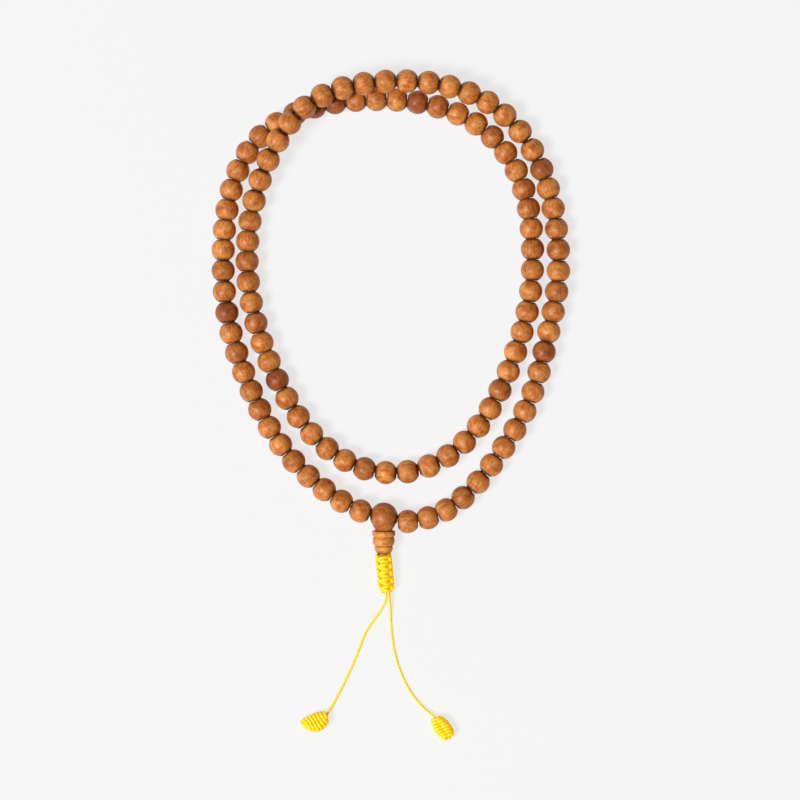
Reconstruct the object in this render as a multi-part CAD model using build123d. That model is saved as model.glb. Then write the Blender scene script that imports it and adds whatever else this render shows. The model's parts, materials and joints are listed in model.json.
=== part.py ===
from build123d import *
import math
import os

# A string of mala prayer beads lying on a table, doubled into two nested rounds, with its pendant
# and two tails at the near side. Millimetres. +Z is up, +Y runs from the tails to the far side of
# the rounds. The origin is on the table, under the middle of the strand and the pendant.

# Strand
bead_count = 108
bead_diameter = 8.0
bead_bore = 1.5
bead_gap = 0.35              # room left along the cord between two neighbours
face_radius = 1.0            # flat ring round the mouth of the bore
face_easing = 0.35           # length at each end over which the bead is eased off to that ring
single_beads_each_side = 18  # beads next to the pendant that have a node each
beads_in_a_run = 6           # the other beads, in runs of this many

# Cord
cord_diameter = 1.0
strand_bend_share = 0.25     # share of each run that an arc takes, so the cord stays in the bores
free_bend_share = 0.45

# Pendant: guru bead, stepped tower bead and knotted sleeve, one behind the other
guru_centre = (-2.3, -64.0, 4.85)
guru_radius = 4.8
guru_foot_depth = 4.7        # from the centre to the flat foot
guru_foot_radius = 3.0
side_bore = 1.8
side_bore_turn = 14.0        # degrees that the side bore is turned from +X towards -Y
side_bore_drop = 0.8         # from the guru bead's centre to the side bore's axis, towards the foot
mouth_room = 0.4             # left beside the guru bead before its neighbour's run of cord starts
foot_bore = 2.6
sleeve_start = (-2.4, -77.4, 3.6)
sleeve_end = (-1.1, -91.0, 2.45)
tower_clearance = 0.3
neck_depth = 0.45
# Each tier of the tower: where it starts and ends, where it is widest, its radius there, and the
# reach of its curve, which makes it flat or round
tower_tiers = (
    (0.0, 1.95, 0.95, 4.08, 2.9),
    (2.15, 5.20, 3.25, 3.86, 3.7),
    (5.40, 8.20, 5.90, 3.12, 3.0),
)
sleeve_width = 6.0
sleeve_thickness = 4.6
sleeve_corner = 1.9
sleeve_taper = 1.7           # the sleeve narrows over this length towards the tails
sleeve_mouth_width = 3.0
sleeve_mouth_thickness = 1.7
core_spacing = 1.1           # between the two cords that run down the pendant
core_slot = 1.12             # width of the slot that holds them in the sleeve
core_start = 0.5             # how far above the side bore's axis the two cords start
strand_end = 1.5             # from the side bore's middle to each end of the strand's cord
tail_pivot = 1.0             # from the sleeve's end to where the tails bend
core_stub = 0.45             # the cords stand out of the sleeve by this much

# End knots
knot_thickness = 4.4
knot_edge = 0.8
knot_height = 2.25           # of the knot's middle above the table
knot_nose_radius = 1.4
knot_nose_room = 0.15

# The strand's cord after every third bead, from the guru bead's left side round to its right side.
# The second round starts inside the first and climbs over it at the far left.
strand_stations = (
    (-26.0, -52.5, 4.0),
    (-40.5, -36.0, 4.0),
    (-50.0, -17.0, 4.0),
    (-56.5, 3.5, 4.0),
    (-58.5, 25.5, 4.0),
    (-56.5, 46.5, 4.0),
    (-48.0, 66.0, 4.0),
    (-30.0, 78.0, 4.0),
    (-8.5, 81.5, 4.0),
    (13.0, 80.0, 4.0),
    (33.0, 71.0, 4.0),
    (45.5, 53.5, 4.0),
    (49.5, 33.0, 4.0),
    (48.5, 11.0, 4.0),
    (42.5, -10.0, 4.0),
    (33.0, -29.5, 4.0),
    (17.0, -45.0, 4.0),
    (-5.5, -48.5, 4.0),
    (-25.0, -38.0, 4.0),
    (-38.0, -19.5, 4.0),
    (-46.0, 0.0, 4.0),
    (-50.0, 21.5, 4.0),
    (-48.5, 42.5, 4.0),
    (-41.0, 63.5, 9.0),
    (-27.0, 80.5, 11.8),
    (-5.5, 87.0, 9.8),
    (17.0, 86.5, 8.6),
    (37.0, 78.5, 5.6),
    (51.5, 60.5, 4.0),
    (57.5, 40.0, 4.0),
    (58.5, 18.0, 4.0),
    (54.5, -3.0, 4.0),
    (48.5, -24.0, 4.0),
    (37.5, -43.0, 4.0),
    (22.5, -60.0, 4.0),
)
beads_per_station = 3

# The two tails, from just past the sleeve's end to just short of the end knots
left_tail_route = (
    (-1.5, -92.7, 2.3),
    (-2.4, -95.2, 1.4),
    (-4.3, -98.4, 0.6),
    (-7.0, -102.0, 0.52),
    (-9.4, -106.0, 0.5),
    (-10.9, -110.4, 0.5),
    (-13.2, -116.0, 0.5),
    (-16.3, -122.6, 0.52),
    (-19.2, -128.2, 0.6),
    (-20.7, -131.0, 1.1),
    (-21.6, -132.4, 1.7),
)
right_tail_route = (
    (-0.4, -92.8, 2.3),
    (-0.1, -95.6, 1.4),
    (0.0, -99.6, 0.6),
    (0.3, -104.4, 0.52),
    (0.9, -109.6, 0.5),
    (2.3, -115.6, 0.5),
    (4.6, -121.6, 0.5),
    (7.6, -126.8, 0.52),
    (10.6, -130.4, 0.6),
    (12.6, -132.2, 1.1),
    (13.8, -133.1, 1.7),
)
# Each end knot: its nose, the middle of its belly, the belly's radius, its tip and the tip's radius
left_knot_shape = ((-22.5, -133.7), (-26.2, -135.4), 3.05, (-31.0, -136.1), 1.0)
right_knot_shape = ((15.1, -134.1), (18.2, -138.2), 3.05, (20.2, -140.9), 1.5)


def bend_radii(points, share):
    """The largest arcs that leave the middle of every run straight."""
    radii = []
    for before, corner, after in zip(points, points[1:], points[2:]):
        run_in = Vector(corner) - Vector(before)
        run_out = Vector(after) - Vector(corner)
        half_turn = math.radians(run_in.get_angle(run_out)) / 2
        radii.append(share * min(run_in.length, run_out.length) / math.tan(half_turn))
    return radii


def cord(points, share):
    """A round cord along straight runs joined by tangent arcs, and the length of its middle line."""
    path = FilletPolyline(*points, radius=bend_radii(points, share))
    section = Plane(origin=path @ 0, z_dir=path % 0) * Circle(cord_diameter / 2)
    return sweep(section, path=path), path.length


def report_cord(name, points, share, solid, length):
    """Print a cord's smallest bend and compare its volume with its section times its length."""
    section_area = math.pi * cord_diameter ** 2 / 4
    print(
        f"{name}: length {length:.1f}, smallest radius {min(bend_radii(points, share)):.1f}, "
        f"volume {solid.volume:.2f}, section times length {section_area * length:.2f}"
    )


# Strand

side_axis = Vector(1, 0, 0).rotate(Axis.Z, -side_bore_turn)
guru_middle = Vector(*guru_centre)
pendant_axis = (Vector(*sleeve_start) - guru_middle).normalized()
bore_middle = guru_middle + pendant_axis * side_bore_drop
mouth_distance = guru_radius + mouth_room
left_mouth = bore_middle - side_axis * mouth_distance
right_mouth = bore_middle + side_axis * mouth_distance


def strand_joints():
    """The points between beads: the mouths of the side bore, and where neighbours meet."""
    stations = [left_mouth, *(Vector(*place) for place in strand_stations), right_mouth]
    line = Wire([Spline(*stations)])
    marks = [line.param_at_point(place) for place in stations]
    joints = []
    for start, end in zip(marks, marks[1:]):
        for step in range(beads_per_station):
            place = line @ (start + (end - start) * step / beads_per_station)
            lying_height = max(place.Z, bead_diameter / 2)
            joints.append(Vector(place.X, place.Y, lying_height))
    joints.append(right_mouth)
    return joints


def turned_arc(widest, radius, reach, start, end):
    """Part of an ellipse in a turned outline, from one height to another: it is widest, with the
    given radius, at the height called widest, and would close at reach above and below it."""
    start_angle = math.degrees(math.asin((start - widest) / reach))
    end_angle = math.degrees(math.asin((end - widest) / reach))
    return EllipticalCenterArc(
        (0, widest), radius, reach, start_angle=start_angle, arc_size=end_angle - start_angle
    )


def turned_bead(length):
    """A round bead about Z, eased off at each end to a small flat round the mouth of its bore."""
    half = length / 2
    bead_radius = bead_diameter / 2
    bore_radius = bead_bore / 2
    belly_angle = math.degrees(math.asin((half - face_easing) / bead_radius))
    belly = CenterArc((0, 0), bead_radius, -belly_angle, 2 * belly_angle)
    outline = make_face([
        belly,
        Line(belly @ 1, (face_radius, half)),
        Line((face_radius, half), (bore_radius, half)),
        Line((bore_radius, half), (bore_radius, -half)),
        Line((bore_radius, -half), (face_radius, -half)),
        Line((face_radius, -half), belly @ 0),
    ])
    return revolve(Plane.XZ * outline, Axis.Z)


def placed_bead(start, end):
    """A bead threaded on the straight run of cord between two joints."""
    run = end - start
    middle = (start + end) * 0.5
    return Plane(origin=middle, z_dir=run) * turned_bead(run.length - bead_gap)


joints = strand_joints()
beads = [placed_bead(start, end) for start, end in zip(joints, joints[1:])]

nodes = {}
last_single_left = single_beads_each_side
first_single_right = bead_count - single_beads_each_side
for number, bead in enumerate(beads, start=1):
    if number <= last_single_left or number > first_single_right:
        nodes[f"bead_{number:03d}"] = bead
for first in range(last_single_left, first_single_right, beads_in_a_run):
    run_beads = beads[first:first + beads_in_a_run]
    nodes[f"beads_{first + 1:03d}_to_{first + beads_in_a_run:03d}"] = Compound(children=run_beads)

strand_points = [
    bore_middle - side_axis * strand_end,
    *joints,
    bore_middle + side_axis * strand_end,
]
nodes["strand_cord"], strand_length = cord(strand_points, strand_bend_share)
report_cord("strand_cord", strand_points, strand_bend_share, nodes["strand_cord"], strand_length)

# Pendant

pendant_plane = Plane(origin=guru_middle, x_dir=(1, 0, 0), z_dir=pendant_axis)


def guru_bead():
    """A round bead with a flat foot, drilled across for the strand and down through the foot."""
    flank_guides = (
        (guru_radius, 0),
        (guru_radius, guru_foot_depth / 2),
        (guru_foot_radius, guru_foot_depth),
    )
    outline = make_face([
        CenterArc((0, 0), guru_radius, -90, 90),
        Bezier(*flank_guides),
        Line((guru_foot_radius, guru_foot_depth), (0, guru_foot_depth)),
        Line((0, guru_foot_depth), (0, -guru_radius)),
    ])
    body = revolve(Plane.YZ * outline, Axis.Z)
    chamber_top = side_bore_drop - foot_bore / 2
    chamber_depth = guru_foot_depth + 1 - chamber_top
    chamber = Pos(0, 0, chamber_top) * Cylinder(
        foot_bore / 2, chamber_depth, align=(Align.CENTER, Align.CENTER, Align.MIN)
    )
    across = Plane(origin=bore_middle, z_dir=side_axis) * Cylinder(side_bore / 2, 3 * guru_radius)
    return pendant_plane * (body - chamber) - across


def tower_bead():
    """One turned piece of three tiers with a groove between each two, bored through."""
    bore_radius = foot_bore / 2
    corner = (bore_radius, tower_tiers[0][0])
    lines = [Line((bore_radius, tower_tiers[-1][1]), corner)]
    for start, end, widest, radius, reach in tower_tiers:
        belly = turned_arc(widest, radius, reach, start, end)
        lines.append(Line(corner, belly @ 0))
        lines.append(belly)
        neck_radius = bore_radius if end == tower_tiers[-1][1] else (belly @ 1).X - neck_depth
        corner = (neck_radius, end)
        lines.append(Line(belly @ 1, corner))
    turned = revolve(Plane.XZ * make_face(lines), Axis.Z)
    return pendant_plane * Pos(0, 0, guru_foot_depth + tower_clearance) * turned


sleeve_axis = (Vector(*sleeve_end) - Vector(*sleeve_start)).normalized()
sleeve_length = (Vector(*sleeve_end) - Vector(*sleeve_start)).length
sleeve_plane = Plane(origin=Vector(*sleeve_start), x_dir=(1, 0, 0), z_dir=sleeve_axis)


def knot_sleeve():
    """The knotted sleeve's outer shape, narrowed at its lower end, with a slot for the two cords."""
    straight_length = sleeve_length - sleeve_taper
    full_section = RectangleRounded(sleeve_width, sleeve_thickness, sleeve_corner)
    mouth_corner = sleeve_mouth_thickness * 0.4
    mouth_section = RectangleRounded(sleeve_mouth_width, sleeve_mouth_thickness, mouth_corner)
    body = extrude(full_section, straight_length)
    body += loft([Pos(0, 0, straight_length) * full_section, Pos(0, 0, sleeve_length) * mouth_section])
    cord_slot = extrude(SlotCenterToCenter(core_spacing, core_slot), sleeve_length)
    return sleeve_plane * (body - cord_slot)


def core_cord_points(side):
    """From inside the guru bead, down through the tower and the sleeve, to just past its end."""
    offset = side * core_spacing / 2
    top = pendant_plane.from_local_coords((offset, 0, side_bore_drop - core_start))
    bend = sleeve_plane.from_local_coords((offset, 0, 0))
    bottom = sleeve_plane.from_local_coords((offset, 0, sleeve_length + core_stub))
    return [top, bend, bottom]


nodes["guru_bead"] = guru_bead()
nodes["tower_bead"] = tower_bead()
nodes["knot_sleeve"] = knot_sleeve()
for name, side in (("core_cord_left", -1), ("core_cord_right", 1)):
    core_points = core_cord_points(side)
    nodes[name], core_length = cord(core_points, strand_bend_share)
    report_cord(name, core_points, strand_bend_share, nodes[name], core_length)

# Tails


def end_knot(shape):
    """A leaf-shaped knot lying flat, from its nose at the cord to its tip, with rounded edges."""
    nose, belly, belly_radius, tip, tip_radius = shape
    circles = (
        Pos(*nose) * Circle(knot_nose_radius - knot_nose_room),
        Pos(*belly) * Circle(belly_radius),
        Pos(*tip) * Circle(tip_radius),
    )
    outline = make_hull([edge for circle in circles for edge in circle.edges()])
    body = Pos(0, 0, knot_height - knot_thickness / 2) * extrude(outline, knot_thickness)
    rims = body.edges().filter_by(Plane.XY)
    return fillet(rims, knot_edge)


for name, route in (("tail_cord_left", left_tail_route), ("tail_cord_right", right_tail_route)):
    nodes[name], tail_length = cord(route, free_bend_share)
    report_cord(name, route, free_bend_share, nodes[name], tail_length)
nodes["end_knot_left"] = end_knot(left_knot_shape)
nodes["end_knot_right"] = end_knot(right_knot_shape)

tail_bend_place = Vector(*sleeve_end) + sleeve_axis * tail_pivot
print("side bore axis", side_axis)
print("pendant axis", pendant_plane.z_dir)
print("tails bend at", tail_bend_place)
print("sleeve axis", sleeve_axis, "length", sleeve_length)

os.makedirs("parts", exist_ok=True)
for name, solid in nodes.items():
    export_step(solid, f"parts/{name}.step")
print(len(nodes), "nodes")
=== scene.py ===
import bpy
import bmesh
import json
import math
import random
import numpy as np
from mathutils import Matrix, Vector


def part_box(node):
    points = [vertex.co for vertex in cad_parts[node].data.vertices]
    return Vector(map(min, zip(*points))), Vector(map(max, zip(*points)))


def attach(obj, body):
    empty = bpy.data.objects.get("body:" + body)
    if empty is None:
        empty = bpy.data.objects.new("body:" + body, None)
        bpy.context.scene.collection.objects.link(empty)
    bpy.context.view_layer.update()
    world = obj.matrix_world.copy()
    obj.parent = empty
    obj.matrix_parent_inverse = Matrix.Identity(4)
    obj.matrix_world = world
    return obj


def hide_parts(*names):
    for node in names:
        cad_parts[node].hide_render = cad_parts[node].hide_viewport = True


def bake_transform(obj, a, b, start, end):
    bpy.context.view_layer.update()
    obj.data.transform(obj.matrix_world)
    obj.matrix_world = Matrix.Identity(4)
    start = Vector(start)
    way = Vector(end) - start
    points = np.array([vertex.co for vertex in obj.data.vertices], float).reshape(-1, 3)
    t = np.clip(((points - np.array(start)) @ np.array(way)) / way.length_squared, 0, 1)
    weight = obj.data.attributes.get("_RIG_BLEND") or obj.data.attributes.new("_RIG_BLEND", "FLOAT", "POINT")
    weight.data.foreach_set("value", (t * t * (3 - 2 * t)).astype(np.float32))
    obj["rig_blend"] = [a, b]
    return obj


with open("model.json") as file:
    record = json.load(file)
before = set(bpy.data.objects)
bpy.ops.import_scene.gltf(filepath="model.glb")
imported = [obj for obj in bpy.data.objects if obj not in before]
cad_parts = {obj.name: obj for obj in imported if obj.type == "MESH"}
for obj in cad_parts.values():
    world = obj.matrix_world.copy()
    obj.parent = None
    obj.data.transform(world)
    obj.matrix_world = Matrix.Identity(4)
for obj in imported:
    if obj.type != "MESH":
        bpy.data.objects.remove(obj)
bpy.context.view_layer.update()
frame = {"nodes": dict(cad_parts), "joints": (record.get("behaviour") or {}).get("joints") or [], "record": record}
nodes = frame["nodes"]


# View: the beads lie on a pale table and are looked at from straight above, through a long lens.

low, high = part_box("strand_cord")
look_at = Vector((0.00333, -0.0234, (low.z + high.z) / 2))
view_width = 0.2784
camera_height = 1.1
lens = bpy.data.cameras.new("overhead_camera")
lens.sensor_width = 36
lens.lens = lens.sensor_width * camera_height / view_width
lens.clip_start = 0.01
lens.clip_end = 20
camera = bpy.data.objects.new("overhead_camera", lens)
camera.location = look_at + Vector((0, 0, camera_height))
bpy.context.collection.objects.link(camera)
bpy.context.scene.camera = camera
bpy.context.scene.view_settings.view_transform = "Standard"


# Tails: two thin, limp cords of bright yellow nylon, laid up from three plies, which leave the
# sleeve side by side and part in loose curves on the table. Each is bent where it leaves the
# sleeve, so it follows the pendant at one end and its own hinge at the other.

cord_diameter = 0.001
left_tail_route = (
    (-0.0013, -0.0901, 0.0025),
    (-0.0015, -0.0927, 0.0023),
    (-0.0024, -0.0952, 0.0014),
    (-0.0043, -0.0984, 0.0006),
    (-0.0070, -0.1020, 0.00052),
    (-0.0094, -0.1060, 0.0005),
    (-0.0109, -0.1104, 0.0005),
    (-0.0132, -0.1160, 0.0005),
    (-0.0163, -0.1226, 0.00052),
    (-0.0192, -0.1282, 0.0006),
    (-0.0207, -0.1310, 0.0011),
    (-0.0216, -0.1324, 0.0017),
    (-0.0226, -0.1340, 0.0021),
)
right_tail_route = (
    (-0.0008, -0.0901, 0.0025),
    (-0.0004, -0.0928, 0.0023),
    (-0.0001, -0.0956, 0.0014),
    (0.0000, -0.0996, 0.0006),
    (0.0003, -0.1044, 0.00052),
    (0.0009, -0.1096, 0.0005),
    (0.0023, -0.1156, 0.0005),
    (0.0046, -0.1216, 0.0005),
    (0.0076, -0.1268, 0.00052),
    (0.0106, -0.1304, 0.0006),
    (0.0126, -0.1322, 0.0011),
    (0.0138, -0.1331, 0.0017),
    (0.0153, -0.1343, 0.0021),
)


def smooth_line(name, route, resolution=12):
    """The points of the smooth NURBS line that a route's points control."""
    curve = bpy.data.curves.new(name + "_line", "CURVE")
    curve.dimensions = "3D"
    curve.resolution_u = resolution
    spline = curve.splines.new("NURBS")
    spline.points.add(len(route) - 1)
    for point, place in zip(spline.points, route):
        point.co = (*place, 1)
    spline.order_u = 3
    spline.use_endpoint_u = True
    holder = bpy.data.objects.new(name + "_line", curve)
    bpy.context.collection.objects.link(holder)
    bpy.context.view_layer.update()
    mesh = bpy.data.meshes.new_from_object(holder)
    line = [vert.co.copy() for vert in mesh.vertices]
    bpy.data.objects.remove(holder)
    bpy.data.curves.remove(curve)
    bpy.data.meshes.remove(mesh)
    return line


def even_steps(line, step):
    """The same line, in equal steps of about the given length."""
    runs = [(b - a).length for a, b in zip(line, line[1:])]
    marks = np.concatenate(([0], np.cumsum(runs)))
    wanted = np.linspace(0, marks[-1], max(2, round(marks[-1] / step) + 1))
    columns = [np.interp(wanted, marks, [place[axis] for place in line]) for axis in range(3)]
    return [Vector(place) for place in zip(*columns)]


def vert_layer(layers, name):
    """The layer of that name, made on first use."""
    return layers.get(name) or layers.new(name)


def extrude_ring(shape, edges):
    """Extrudes a ring of edges, and gives the points and the edges of the new ring."""
    made = bmesh.ops.extrude_edge_only(shape, edges=edges)["geom"]
    verts = [part for part in made if isinstance(part, bmesh.types.BMVert)]
    fresh = set(verts)
    edges = [
        part
        for part in made
        if isinstance(part, bmesh.types.BMEdge) and set(part.verts) <= fresh
    ]
    return verts, edges


def add_cord(shape, line, radius, sides, plies, ply_depth, lay_length, depth_of=None):
    """Adds a tube of twisted plies along a line. Each vertex keeps, in the layer called lay, the direction in
    which it lies from the middle, and how far along it is; layer deep says how far down it lies in a knot, which
    sets how much painted shade the cord material gives it."""
    lay = vert_layer(shape.verts.layers.float_vector, "lay")
    deep = vert_layer(shape.verts.layers.float, "deep")
    ring = bmesh.ops.create_circle(shape, segments=sides, radius=radius)["verts"]
    for vert in ring:
        angle = math.atan2(vert.co.y, vert.co.x)
        vert[lay] = (math.cos(angle), math.sin(angle), 0)
        vert.co *= 1 - ply_depth * (0.5 - 0.5 * math.cos(plies * angle))
    edges = list({edge for vert in ring for edge in vert.link_edges})
    first_edges = edges
    heading = (line[1] - line[0]).normalized()
    turn = Vector((0, 0, 1)).rotation_difference(heading).to_matrix().to_4x4()
    bmesh.ops.transform(shape, matrix=Matrix.Translation(line[0]) @ turn, verts=ring)
    rings = [ring]
    along = 0.0
    for number in range(1, len(line)):
        ahead = line[min(number + 1, len(line) - 1)] - line[number - 1]
        new_heading = ahead.normalized()
        gone = (line[number] - line[number - 1]).length
        along += gone
        bend = heading.rotation_difference(new_heading).to_matrix().to_4x4()
        twist = Matrix.Rotation(2 * math.pi * gone / lay_length, 4, new_heading)
        back = Matrix.Translation(-line[number - 1])
        move = Matrix.Translation(line[number]) @ twist @ bend @ back
        verts, edges = extrude_ring(shape, edges)
        bmesh.ops.transform(shape, matrix=move, verts=verts)
        for vert in verts:
            vert[lay] = (vert[lay].x, vert[lay].y, along * 1000)
        rings.append(verts)
        heading = new_heading
    bmesh.ops.contextual_create(shape, geom=first_edges)
    bmesh.ops.contextual_create(shape, geom=edges)
    if depth_of:
        for verts in rings:
            for vert in verts:
                vert[deep] = depth_of(vert.co)


def piece(name, shape, body, material):
    """The finished mesh as an object that rides on a body."""
    bmesh.ops.recalc_face_normals(shape, faces=shape.faces)
    for face in shape.faces:
        face.smooth = True
    mesh = bpy.data.meshes.new(name)
    shape.to_mesh(mesh)
    shape.free()
    mesh.materials.append(material)
    made = bpy.data.objects.new(name, mesh)
    bpy.context.collection.objects.link(made)
    if body:
        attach(made, body)
    return made


class Value:
    """A socket in a material's node tree. Sums with it add Math nodes."""

    def __init__(self, tree, socket):
        self.tree = tree
        self.socket = socket

    def node(self, kind, sockets=(), output=0, ramp=None, **settings):
        """Adds a node, with its settings first and then its sockets, and gives one output."""
        made = self.tree.nodes.new(kind)
        for name, setting in settings.items():
            setattr(made, name, setting)
        if ramp:
            stops = made.color_ramp.elements
            while len(stops) < len(ramp):
                stops.new(0.5)
            for stop, (place, colour) in zip(stops, ramp):
                stop.position = place
                stop.color = (*colour, 1)
        for key, given in dict(sockets).items():
            if isinstance(given, Value):
                self.tree.links.new(given.socket, made.inputs[key])
            else:
                made.inputs[key].default_value = given
        return Value(self.tree, made.outputs[output])

    def math(self, operation, *given):
        return self.node("ShaderNodeMath", dict(enumerate(given)), operation=operation)

    def __add__(self, other):
        return self.math("ADD", self, other)

    def __radd__(self, other):
        return self.math("ADD", other, self)

    def __sub__(self, other):
        return self.math("SUBTRACT", self, other)

    def __rsub__(self, other):
        return self.math("SUBTRACT", other, self)

    def __mul__(self, other):
        return self.math("MULTIPLY", self, other)

    def __rmul__(self, other):
        return self.math("MULTIPLY", other, self)

    def between(self, low, high):
        """0 below low, 1 above high, and a soft step between them."""
        return self.node(
            "ShaderNodeMapRange",
            {"Value": self, "From Min": low, "From Max": high},
            interpolation_type="SMOOTHSTEP",
        )

    def mix(self, low, high):
        """The colour low where this is 0, and high where it is 1."""
        colours = {
            key: given if isinstance(given, Value) else (*given, 1)
            for key, given in ((6, low), (7, high))
        }
        return self.node("ShaderNodeMix", {0: self, **colours}, output=2, data_type="RGBA")


def new_finish(name):
    """A new material, its shader node and a value to start from."""
    material = bpy.data.materials.new(name)
    material.use_nodes = True
    tree = material.node_tree
    return material, tree.nodes["Principled BSDF"], Value(tree, None)


def cord_finish(name, bright, shaded, from_object=False):
    """Glossy filament nylon: plies that wind round the cord, fine filaments on them, a random mottle, and painted
    shade in the grooves between the plies and where a strand lies low in a knot. A little painted warm glow
    lightens that shade, in place of the light that soaks through the filaments."""
    material, shader, start = new_finish(name)
    if from_object:
        position = start.node("ShaderNodeTexCoord", output="Object")
        plies = position.node(
            "ShaderNodeTexWave",
            {"Vector": position, "Scale": 420, "Distortion": 1.5, "Detail": 1.0},
            output="Fac",
            bands_direction="DIAGONAL",
        )
        filaments = plies
        deep = 0.0
    else:
        lay = start.node("ShaderNodeAttribute", output="Vector", attribute_name="lay")
        deep = start.node("ShaderNodeAttribute", output="Fac", attribute_name="deep")
        parts = {
            axis: lay.node("ShaderNodeSeparateXYZ", {"Vector": lay}, output=axis)
            for axis in ("X", "Y", "Z")
        }
        angle = start.math("ARCTAN2", parts["Y"], parts["X"])
        plies = start.math("COSINE", angle * 3) * 0.5 + 0.5
        filaments = start.math("SINE", angle * 9 + parts["Z"] * 9) * 0.5 + 0.5
    mottle_place = start.node("ShaderNodeTexCoord", output="Object")
    mottle = start.node(
        "ShaderNodeTexNoise", {"Vector": mottle_place, "Scale": 900, "Detail": 2}, output="Fac"
    )
    # Painted shade: the grooves between the plies and the strands that lie low in a knot are mixed toward the
    # shaded colour, with a random mottle on top.
    groove_shade = 1 - plies.between(0.0, 0.45)
    shade = start.math("MAXIMUM", groove_shade * 0.35, deep) + (mottle - 0.5) * 0.35
    colour = shade.between(0.05, 0.95).mix(bright, shaded)
    start.tree.links.new(colour.socket, shader.inputs["Base Color"])
    height = plies * 0.7 + filaments * 0.3
    bump = start.node(
        "ShaderNodeBump", {"Height": height, "Strength": 0.5, "Distance": 0.00005}, output="Normal"
    )
    start.tree.links.new(bump.socket, shader.inputs["Normal"])
    rough = mottle * 0.2 + 0.34
    start.tree.links.new(rough.socket, shader.inputs["Roughness"])
    shader.inputs["Specular IOR Level"].default_value = 0.7
    # Painted warm glow, though the cord is no lamp: it lightens the shade in the gaps of the cords and knots.
    shader.inputs["Emission Color"].default_value = (1.0, 0.42, 0.0, 1)
    shader.inputs["Emission Strength"].default_value = 0.15
    return material


lemon = (1.0, 0.70, 0.0)
# The shaded colour of the knots: painted shade for the gaps deep in them.
painted_shade_amber = (1.0, 0.30, 0.0)
tail_yellow = cord_finish("yellow_nylon_cord", lemon, (1.0, 0.5, 0.0))
bend_reach = 0.007
tails = {}
for side, route in (("left", left_tail_route), ("right", right_tail_route)):
    path = even_steps(smooth_line(side + "_tail", route), 0.00028)
    shape = bmesh.new()
    radius = cord_diameter / 2
    add_cord(shape, path, radius, sides=12, plies=3, ply_depth=0.12, lay_length=0.0032)
    tail = piece(side + "_tail", shape, None, tail_yellow)
    bend_end = path[4] + Vector((0, -bend_reach, 0))
    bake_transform(tail, "pendant", side + "_tail", start=path[4], end=bend_end)
    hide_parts("tail_cord_" + side)
    tails[side] = (tail, path)


# Strand cord and core cords: the same yellow nylon, threaded through every bead and down through
# the guru bead, the tower and the sleeve. Only specks of it show between the beads.

# Its colours are a darker orange than the tails' yellow: painted shade for the specks of it that show in the gaps
# between the beads.
threaded_yellow = cord_finish(
    "threaded_yellow_cord", (0.9, 0.45, 0.0), (0.6, 0.2, 0.0), from_object=True
)
for name in ("strand_cord", "core_cord_left", "core_cord_right"):
    nodes[name].data.materials.clear()
    nodes[name].data.materials.append(threaded_yellow)


# Beads: 108 turned beads of warm reddish-brown wood, drilled through and polished to a satin
# shine. Every bead is cut from the plank at its own angle, so grain and tone differ. They are
# threaded on the cord, and those next to the pendant turn on it one by one.

bead_steps = 32
dark_beads = (13, 24, 25, 26, 30, 61, 88, 97)
brown_beads = (8, 9, 11, 15, 22, 27, 31, 34, 37, 38, 40, 47, 55, 64, 67, 92, 94, 105)
pale_beads = (6, 16, 17, 32, 52, 54, 63, 80, 82, 85, 96)
bead_radius = 0.00415
radius_spread = 0.012
bead_bore = 0.00075
bead_swell = 0.00012
snug_shift = 0.0002
bead_dice = random.Random(108)


def solids_of(node):
    """The points of each separate solid in a node, as one array for each."""
    copy = bmesh.new()
    copy.from_mesh(node.data)
    bmesh.ops.remove_doubles(copy, verts=copy.verts, dist=1e-6)
    waiting = set(copy.verts)
    found = []
    while waiting:
        border = [waiting.pop()]
        island = set(border)
        while border:
            vert = border.pop()
            for edge in vert.link_edges:
                other = edge.other_vert(vert)
                if other not in island:
                    island.add(other)
                    border.append(other)
        waiting -= island
        found.append(np.array([vert.co[:] for vert in island]))
    copy.free()
    return found


def add_turned(shape, outline, steps, place, wood, tone, drill=Matrix.Identity(4)):
    """Adds a shape turned about Z from its outline of (height, radius) and puts it in its place.
    Layers keep how it lay in the wood, where it is from the drilled bore, and its tone."""
    grain = vert_layer(shape.verts.layers.float_vector, "grain")
    bored = vert_layer(shape.verts.layers.float_vector, "bored")
    tones = vert_layer(shape.verts.layers.float, "tone")
    before = set(shape.verts)
    verts = [shape.verts.new((radius, 0, height)) for height, radius in outline]
    edges = [shape.edges.new(pair) for pair in zip(verts, verts[1:])]
    if outline[0][1] > 0:
        edges.append(shape.edges.new((verts[-1], verts[0])))
    bmesh.ops.spin(
        shape,
        geom=verts + edges,
        axis=(0, 0, 1),
        cent=(0, 0, 0),
        angle=2 * math.pi,
        steps=steps,
        use_merge=True,
    )
    made = [vert for vert in shape.verts if vert not in before]
    bmesh.ops.remove_doubles(shape, verts=made, dist=1e-7)
    made = [vert for vert in shape.verts if vert not in before]
    for vert in made:
        local = vert.co * 1000
        vert[grain] = wood @ local
        vert[bored] = drill @ local
        vert[tones] = tone
    bmesh.ops.transform(shape, matrix=place, verts=made)


def cut_of_wood(dice, tilt):
    """A random place and turn in the plank, tilted from the fibres by about the given angle."""
    spin = Matrix.Rotation(dice.uniform(0, 2 * math.pi), 4, "Z")
    lean = Matrix.Rotation(math.radians(dice.gauss(tilt, 20)), 4, "X")
    shift = Matrix.Translation([dice.uniform(-400, 400) for _ in range(3)])
    return shift @ lean @ spin


def bead_outline(half, radius, bore):
    """A ball cut flat at both ends, with a rounded rim, from one mouth of its bore to the other."""
    ease = 0.00009
    limit = math.asin((half - ease) / radius)
    rim = radius * math.cos(limit)
    arc = [
        (radius * math.sin(turn), radius * math.cos(turn))
        for turn in np.linspace(-limit, limit, 13)
    ]
    end = [(half - ease * 0.25, rim - ease * 0.45), (half, rim - ease * 1.4), (half, bore * 1.25)]
    end.append((half - ease, bore))
    return [(-height, width) for height, width in reversed(end)] + arc + end


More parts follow.
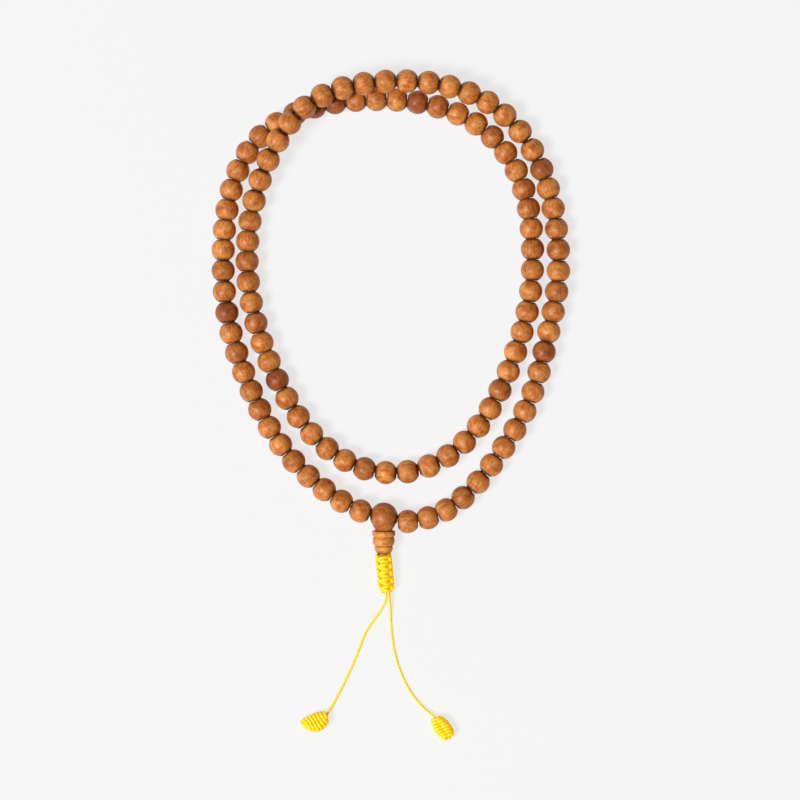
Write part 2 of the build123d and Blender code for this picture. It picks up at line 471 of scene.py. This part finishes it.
def wood_finish(name, deep_wood, mid_wood, light_wood):
    """Oiled hardwood: cloudy tone, soft growth lines, fine streaks along the fibres, short dark pores, and a
    near-black disc round each bore: partly the burn where the drill came through, mostly painted shade where the
    piece touches its neighbours."""
    material, shader, start = new_finish(name)
    grain = start.node("ShaderNodeAttribute", output="Vector", attribute_name="grain")
    bored = start.node("ShaderNodeAttribute", output="Vector", attribute_name="bored")
    tone = start.node("ShaderNodeAttribute", output="Fac", attribute_name="tone")

    def noise(scale, **sockets):
        place = start.node("ShaderNodeMapping", {"Vector": grain, "Scale": scale})
        sockets = {"Vector": place, "Scale": 1, **sockets}
        return start.node("ShaderNodeTexNoise", sockets, output="Fac")

    sway = noise((0.30, 0.30, 0.10), Detail=2)
    across = start.node("ShaderNodeSeparateXYZ", {"Vector": grain}, output="X")
    rings = start.math("SINE", across * 5.2 + sway * 16) * 0.5 + 0.5
    streaks = noise((4.6, 4.6, 0.9), Detail=4, Roughness=0.7)
    cloud = noise((0.42, 0.42, 0.26), Detail=4)
    pores = noise((6.5, 6.5, 1.3), Detail=1, Roughness=0.4).between(0.56, 0.68)
    body = (rings * 0.12 + streaks * 0.9 + cloud * 1.0).between(0.52, 1.42)
    colour = start.node(
        "ShaderNodeValToRGB",
        {"Fac": body},
        output="Color",
        ramp=((0.0, deep_wood), (0.5, mid_wood), (1.0, light_wood)),
    )
    heart = start.node(
        "ShaderNodeMix",
        {0: 1.0, 6: colour, 7: (0.50, 0.36, 0.34, 1)},
        output=2,
        data_type="RGBA",
        blend_type="MULTIPLY",
    )
    colour = tone.mix(colour, heart)
    colour = (pores * 0.4).mix(colour, (0.12, 0.028, 0.008))
    flat = start.node(
        "ShaderNodeVectorMath", {0: bored, 1: (1, 1, 0)}, output="Vector", operation="MULTIPLY"
    )
    out = start.node("ShaderNodeVectorMath", {0: flat}, output="Value", operation="LENGTH")
    # Near-black disc round the bore: mostly painted shade where neighbouring pieces touch, partly drill burn.
    colour = ((1 - out.between(2.1, 3.25)) * 0.95).mix(colour, (0.05, 0.014, 0.006))
    start.tree.links.new(colour.socket, shader.inputs["Base Color"])
    rough = streaks * 0.16 + pores * 0.2 + 0.36
    start.tree.links.new(rough.socket, shader.inputs["Roughness"])
    relief = streaks * 0.5 - pores * 0.8
    bump = start.node(
        "ShaderNodeBump", {"Height": relief, "Strength": 0.3, "Distance": 0.00005}, output="Normal"
    )
    start.tree.links.new(bump.socket, shader.inputs["Normal"])
    shader.inputs["Specular IOR Level"].default_value = 0.3
    shader.inputs["Coat Weight"].default_value = 0.1
    shader.inputs["Coat Roughness"].default_value = 0.3
    return material


bead_wood = wood_finish(
    "oiled_bead_wood", (0.24, 0.044, 0.006), (0.57, 0.165, 0.025), (0.80, 0.36, 0.085)
)
body_of_node = {
    node: body
    for body, names in frame["record"]["behaviour"]["bodies"].items()
    for node in names
}
joint_places = {joint["name"]: np.array(joint["pos_m"]) for joint in frame["joints"]}
bore_middle = joint_places["guru_pendant_flip"]
bead_nodes = [name for name in nodes if name.startswith("bead")]
bead_nodes.sort(key=lambda name: int(name.split("_")[1]))
threaded = []
last = bore_middle
for name in bead_nodes:
    solids = [
        (points, (points.max(axis=0) + points.min(axis=0)) / 2) for points in solids_of(nodes[name])
    ]
    while solids:
        solids.sort(key=lambda solid: np.linalg.norm(solid[1] - last))
        points, last = solids.pop(0)
        threaded.append((name, points, last))
mouth_reach = 0.0014
mouth_depth = 0.001
middles = [bore_middle, *(middle for _, _, middle in threaded), bore_middle]
shapes = {name: bmesh.new() for name in bead_nodes}
for number, (name, points, middle) in enumerate(threaded, start=1):
    along = middles[number + 1] - middles[number - 1]
    along /= np.linalg.norm(along)
    heights = (points - middle) @ along
    spans = np.linalg.norm(points - middle - np.outer(heights, along), axis=1)
    near_bore = spans < mouth_reach
    mouths = [points[near_bore & (side * heights > mouth_depth)].mean(axis=0) for side in (-1, 1)]
    axis = mouths[1] - mouths[0]
    half = np.linalg.norm(axis) / 2 + bead_swell
    middle = (mouths[0] + mouths[1]) / 2
    if number in (1, len(threaded)):
        to_guru = bore_middle - middle
        middle += snug_shift * to_guru / np.linalg.norm(to_guru)
    if number in dark_beads:
        tone = 0.85 + 0.15 * bead_dice.random()
    elif number in brown_beads:
        tone = 0.42 + 0.14 * bead_dice.random()
    elif number in pale_beads:
        tone = -0.25
    else:
        tone = 0.05 + 0.22 * bead_dice.random()
    turn = Vector((0, 0, 1)).rotation_difference(Vector(axis)).to_matrix().to_4x4()
    add_turned(
        shapes[name],
        bead_outline(half, bead_radius * (1 - radius_spread * bead_dice.random()), bead_bore),
        bead_steps,
        Matrix.Translation(middle) @ turn,
        cut_of_wood(bead_dice, 70),
        tone,
    )
for name, shape in shapes.items():
    wood = piece(name.replace("bead", "wood_bead", 1), shape, body_of_node[name], bead_wood)
    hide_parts(name)


# Guru bead and tower: the large bead that closes the string and the stepped piece under it, turned from the same
# wood. The guru bead is a darker ball with a flat foot, drilled down for the two core cords; no bore is cut across
# it for the strand, and a near-black ring of painted shade, with some drill burn, marks where the strand goes in.
# The tower has three tiers with a fine groove between each two.

guru_radius = 0.00485
guru_foot = 0.00492
joint_axes = {joint["name"]: Vector(joint["axis"]).normalized() for joint in frame["joints"]}
pendant_axis = joint_axes["guru_tower_spin"]
guru_middle = joint_places["guru_tower_spin"]
bore_drop = Vector((0, 0, 1000 * np.linalg.norm(bore_middle - guru_middle)))
upright = Vector((0, 0, 1)).rotation_difference(pendant_axis)
pendant_place = Matrix.Translation(guru_middle) @ upright.to_matrix().to_4x4()
side_axis = upright.inverted() @ joint_axes["guru_pendant_flip"]
side_turn = side_axis.rotation_difference(Vector((0, 0, 1))).to_matrix().to_4x4()
side_drill = side_turn @ Matrix.Translation(-bore_drop)
foot_turn = 0.62
shape = bmesh.new()
outline = [
    (guru_radius * math.sin(turn), max(guru_radius * math.cos(turn), 0))
    for turn in np.linspace(-math.pi / 2, foot_turn, 22)
]
outline[0] = (-guru_radius, 0)
outline += [
    (0.0034, 0.00371),
    (0.0039, 0.00345),
    (0.0043, 0.00319),
    (0.0046, 0.00298),
    (guru_foot, 0.00280),
    (guru_foot, 0.00135),
    (guru_foot - 0.0010, 0.00130),
    (guru_foot - 0.0010, 0),
]
add_turned(shape, outline, 48, pendant_place, cut_of_wood(bead_dice, 60), 0.5, side_drill)
guru = piece("turned_guru_bead", shape, "pendant", bead_wood)
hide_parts("guru_bead")

tower_wood = wood_finish(
    "oiled_tower_wood", (0.34, 0.085, 0.010), (0.63, 0.22, 0.034), (0.82, 0.39, 0.095)
)
tower_points = np.array([vert.co[:] for vert in nodes["tower_bead"].data.vertices])
tower_start = ((tower_points - guru_middle) @ np.array(pendant_axis)).min()
# Heights up from the tower's flat end, and radii, in millimetres
tower_outline = (
    (0.00, 1.30), (0.00, 3.60), (0.10, 3.88), (0.35, 4.03), (0.95, 4.08), (1.55, 4.04), (1.83, 3.92),
    (1.95, 3.70), (1.98, 3.25), (2.16, 3.20), (2.20, 3.42), (2.34, 3.62), (2.75, 3.80), (3.30, 3.86),
    (3.95, 3.83), (4.55, 3.70), (5.00, 3.48), (5.18, 3.25), (5.22, 2.75), (5.40, 2.72), (5.44, 2.98),
    (5.60, 3.14), (5.95, 3.22), (6.50, 3.18), (7.05, 2.98), (7.55, 2.68), (7.95, 2.34), (8.15, 2.08),
    (8.20, 1.80), (8.20, 1.30),
)
shape = bmesh.new()
add_turned(
    shape,
    [(height / 1000, radius / 1000) for height, radius in tower_outline],
    48,
    pendant_place @ Matrix.Translation((0, 0, tower_start)),
    cut_of_wood(bead_dice, 12),
    -0.1,
)
tower = piece("turned_tower", shape, "tower", tower_wood)
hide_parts("tower_bead")


# Sleeve: two working cords of the same yellow nylon tied in a run of square knots round the core
# cords. One cord always crosses in front and the other behind, and each loops over the other at
# both sides, so the sides show plump upright loops and the middle shows cross bars in pairs.

knot_yellow = cord_finish("knotted_yellow_cord", lemon, painted_shade_amber)
sleeve_points = np.array([vert.co[:] for vert in nodes["knot_sleeve"].data.vertices])


def frame_along(points, roughly):
    """A frame on the longest line of a set of points: its Z runs along it, and its Y looks up."""
    offsets = points - points.mean(axis=0)
    along = Vector(np.linalg.svd(offsets, full_matrices=False)[2][0])
    if along.dot(roughly) < 0:
        along.negate()
    up = (Vector((0, 0, 1)) - along * along.z).normalized()
    turn = Matrix((up.cross(along), up, along)).transposed()
    local = points @ np.array(turn)
    low, high = local.min(axis=0), local.max(axis=0)
    start = turn @ Vector(((low[0] + high[0]) / 2, (low[1] + high[1]) / 2, low[2]))
    return Matrix.Translation(start) @ turn.to_4x4(), high - low


sleeve_place, sleeve_size = frame_along(sleeve_points, Vector((0, -1, 0)))
sleeve_length = sleeve_size[2] - 0.00005
knot_pitch = 0.00257
knotting_radius = 0.00066
# One working cord through half a repeat, as shares of the pitch along and millimetres across and
# up: a bar over the front and a turn round one side. The other half mirrors it.
knot_course = (
    (0.00, -0.55, 1.42), (0.07, 0.55, 1.42), (0.13, 1.45, 0.60), (0.17, 2.25, -0.60),
    (0.20, 2.15, -1.15), (0.38, 2.15, -1.15), (0.41, 2.25, -0.60), (0.45, 1.45, 0.60),
)
taper_places = (0.0, 0.0009, sleeve_length - 0.0034, sleeve_length - 0.0014, sleeve_length)
taper_shares = (0.90, 1.05, 1.05, 0.92, 0.56)


def taper(height):
    return np.interp(height, taper_places, taper_shares)


def square_knot_cord(side):
    """The line of one working cord through the whole sleeve. The cord that crosses in front has
    side 1, and the one that crosses behind has side -1."""
    controls = []
    for half_turn in range(round(2 * sleeve_length / knot_pitch) + 1):
        facing = 1 if half_turn % 2 == 0 else -1
        for share, across, up in knot_course:
            height = knot_pitch * (half_turn / 2 + share - 0.1)
            if 0 < height < sleeve_length - knotting_radius * 0.7:
                height = max(height, knotting_radius * 0.7)
                width = taper(height) / 1000
                controls.append((side * facing * across * width, side * up * width, height))
    return smooth_line("knotting_cord", controls, 8)


def sleeve_depth(place):
    """How deep in the sleeve a point lies, 0 outside and 1 in the gaps, which sets the painted shade of the cords
    there.
    """
    share = taper(place.z)
    out = math.hypot(place.x / 0.0029, place.y / 0.00205) / share
    return min(max((0.82 - out) / 0.25, 0), 1)


def add_filling(shape, sections):
    """Adds the body that the cords are tied round, from ellipses given as height, half width, half thickness and
    how deep in the knot they lie, which sets their painted shade."""
    deep = vert_layer(shape.verts.layers.float, "deep")
    ring = bmesh.ops.create_circle(shape, segments=20, radius=1)["verts"]
    edges = list({edge for vert in ring for edge in vert.link_edges})
    bmesh.ops.contextual_create(shape, geom=edges)
    directions = [vert.co.copy() for vert in ring]
    for number, (height, half_width, half_rise, depth) in enumerate(sections):
        if number:
            ring, edges = extrude_ring(shape, edges)
        for vert, direction in zip(ring, directions):
            vert.co = (direction.x * half_width, direction.y * half_rise, height)
            vert[deep] = depth
    bmesh.ops.contextual_create(shape, geom=edges)


def add_knotted_cord(shape, line, radius, depth_of=None):
    """Adds a smooth cord of a knot, whose plies show in its material only."""
    add_cord(
        shape, line, radius, sides=10, plies=3, ply_depth=0, lay_length=0.0045, depth_of=depth_of
    )


shape = bmesh.new()
filling_width = 0.0021
filling_rise = 0.0012
# Every section lies at depth 1, so the whole filling is painted in the shaded colour: painted shade that shows
# through the gaps between the knotted cords.
filling = [
    (height, filling_width * taper(height), filling_rise * taper(height), 1.0)
    for height in (0.0003, *taper_places[1:-1], sleeve_length - 0.0003)
]
add_filling(shape, filling)
for side in (1, -1):
    line = even_steps(square_knot_cord(side), 0.00022)
    add_knotted_cord(shape, line, knotting_radius, sleeve_depth)
snug = Matrix.Translation((-0.0002, 0, -0.00025))
bmesh.ops.transform(shape, matrix=sleeve_place @ snug, verts=shape.verts)
sleeve = piece("knotted_sleeve", shape, "pendant", knot_yellow)
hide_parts("knot_sleeve")


# End knots: each tail ends in a flat leaf-shaped knot of the same cord, wound in two columns of
# slanting turns that meet along the middle. The left one runs to a point and the right one is
# blunt. Each swings a little where its tail goes in.

end_cord_radius = 0.00060
rim_radius = 0.0007
# For each side: how far apart the turns are and how far they slant, how far the knot bows and is
# set off sideways, where it starts along its length and the share of it that it takes, and the
# outline from nose to tip
leaf_kinds = {
    "left": (
        0.00122, 0.00075, 0.0009, 0.0005, -0.0004, 1.0,
        (0.0, 0.10, 0.25, 0.45, 0.70, 0.88, 1.0),
        (0.0014, 0.0024, 0.0031, 0.0034, 0.0028, 0.0018, 0.0008),
    ),
    "right": (
        0.00116, -0.00020, 0.0, 0.0, 0.0003, 0.93,
        (0.0, 0.10, 0.25, 0.50, 0.75, 0.90, 1.0),
        (0.0012, 0.0020, 0.0027, 0.0031, 0.0029, 0.0023, 0.0015),
    ),
}
for side, kind in leaf_kinds.items():
    turn_pitch, slant, bow, offset, leaf_start, length_share, outline_places, outline_widths = kind
    nose = joint_places[side + "_knot_swing"]
    knot_points = np.array([vert.co[:] for vert in nodes["end_knot_" + side].data.vertices])
    reaches = np.linalg.norm(knot_points[:, :2] - nose[:2], axis=1)
    far = knot_points[reaches.argmax()]
    along = Vector((*(far - nose)[:2], 0)).normalized()
    across = Vector((0, 0, 1)).cross(along)
    low, high = knot_points.min(axis=0), knot_points.max(axis=0)
    leaf_length = reaches.max() * length_share
    leaf_rise = (high[2] - low[2]) / 2
    turn = Matrix((across, Vector((0, 0, 1)), along)).transposed().to_4x4()
    leaf_place = Matrix.Translation((nose[0], nose[1], (high[2] + low[2]) / 2)) @ turn

    def leaf_width(height):
        return np.interp(height / leaf_length, outline_places, outline_widths)

    def leaf_bulge(height):
        """The share of the full thickness that the knot has at a height."""
        return min(1, 0.35 + leaf_width(height) / 0.0031 * 0.65)

    def leaf_depth(place):
        # How deep in the knot a point lies, which sets the painted shade of the cords.
        out = math.hypot(place.x / leaf_width(place.z), place.y / (leaf_rise * leaf_bulge(place.z)))
        return min(max((0.84 - out) / 0.30, 0), 1)

    shape = bmesh.new()
    # The middle sections lie at depth 1, so the filling is painted in the shaded colour, as painted shade between
    # the turns; the nose and tip sections at depth 0 keep the bright colour.
    filling = [
        (
            height,
            leaf_width(height) - end_cord_radius * 1.1,
            (leaf_rise - end_cord_radius * 1.9) * leaf_bulge(height),
            1.0,
        )
        for height in np.linspace(0.0010, leaf_length - 0.0010, 9)
    ]
    for height in (0.0005, 0.0002):
        filling.insert(0, (height, leaf_width(0) * 0.75, leaf_rise * 0.4, 0.0))
        tip_width = leaf_width(leaf_length) * 0.75
        filling.append((leaf_length - height, tip_width, leaf_rise * 0.4, 0.0))
    add_filling(shape, filling)
    for column in (-1, 1):
        line = []
        turns = (leaf_length - 0.0010) / turn_pitch
        for phase in np.linspace(0, 2 * math.pi * turns, int(turns * 24)):
            height = 0.0005 + turn_pitch * phase / (2 * math.pi)
            height += column * turn_pitch / 4 + slant * math.cos(phase)
            height = min(max(height, 0.0005), leaf_length - 0.0005)
            width = leaf_width(height)
            inner, outer = -end_cord_radius * 0.6, width - end_cord_radius * 0.9
            middle, reach = (outer + inner) / 2, max((outer - inner) / 2, 0.00005)
            rise = (leaf_rise - end_cord_radius) * leaf_bulge(height)
            lift = math.copysign(abs(math.sin(phase)) ** 0.6, math.sin(phase))
            line.append(Vector((column * middle - reach * math.cos(phase), rise * lift, height)))
        add_knotted_cord(shape, even_steps(line, 0.0002), end_cord_radius, leaf_depth)
        rim = [
            Vector((column * (leaf_width(height) - rim_radius), leaf_rise * 0.25, height))
            for height in np.linspace(rim_radius, leaf_length - rim_radius, 12)
        ]
        add_knotted_cord(shape, even_steps(rim, 0.0003), rim_radius)
    for vert in shape.verts:
        vert.co.x += offset + bow * math.sin(math.pi * vert.co.z / leaf_length)
        vert.co.z += leaf_start
    bmesh.ops.transform(shape, matrix=leaf_place, verts=shape.verts)
    leaf = piece("leaf_knot_" + side, shape, side + "_knot", knot_yellow)
    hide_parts("end_knot_" + side)
    tail, path = tails[side]


# Floor and light: a plain pale light table, lit from within so that shadows on it stay faint, in a
# room with pale walls and a dim ceiling, under one soft light high on the left.

floor_shape = bmesh.new()
bmesh.ops.create_grid(floor_shape, x_segments=1, y_segments=1, size=3)
floor_finish, floor_shader, _ = new_finish("pale_table")
floor_shader.inputs["Base Color"].default_value = (0.15, 0.15, 0.15, 1)
floor_shader.inputs["Emission Color"].default_value = (1, 1, 1, 1)
floor_shader.inputs["Emission Strength"].default_value = 0.745
floor_shader.inputs["Roughness"].default_value = 0.9
floor_shader.inputs["Specular IOR Level"].default_value = 0.1
floor = piece("floor", floor_shape, None, floor_finish)

sky = bpy.data.worlds.new("studio")
sky.use_nodes = True
sky_direction = Value(sky.node_tree, None).node("ShaderNodeTexCoord", output="Generated")
sky_height = sky_direction.node("ShaderNodeSeparateXYZ", {"Vector": sky_direction}, output="Z")
backdrop_grey = (0.88, 0.88, 0.88)
ceiling_grey = (0.15, 0.15, 0.15)
sky_colour = sky_height.between(0.10, 0.28).mix(backdrop_grey, ceiling_grey)
sky.node_tree.links.new(sky_colour.socket, sky.node_tree.nodes["Background"].inputs["Color"])
bpy.context.scene.world = sky


def softbox(name, place, size, power):
    """A square light that faces the beads."""
    light = bpy.data.lights.new(name, "AREA")
    light.size = size
    light.energy = power
    made = bpy.data.objects.new(name, light)
    made.location = place
    aim = look_at - Vector(place)
    made.rotation_euler = aim.to_track_quat("-Z", "Y").to_euler()
    bpy.context.collection.objects.link(made)


softbox("key_softbox", look_at + Vector((-2.0, -1.04, 3.4)), 1.3, 195.0)
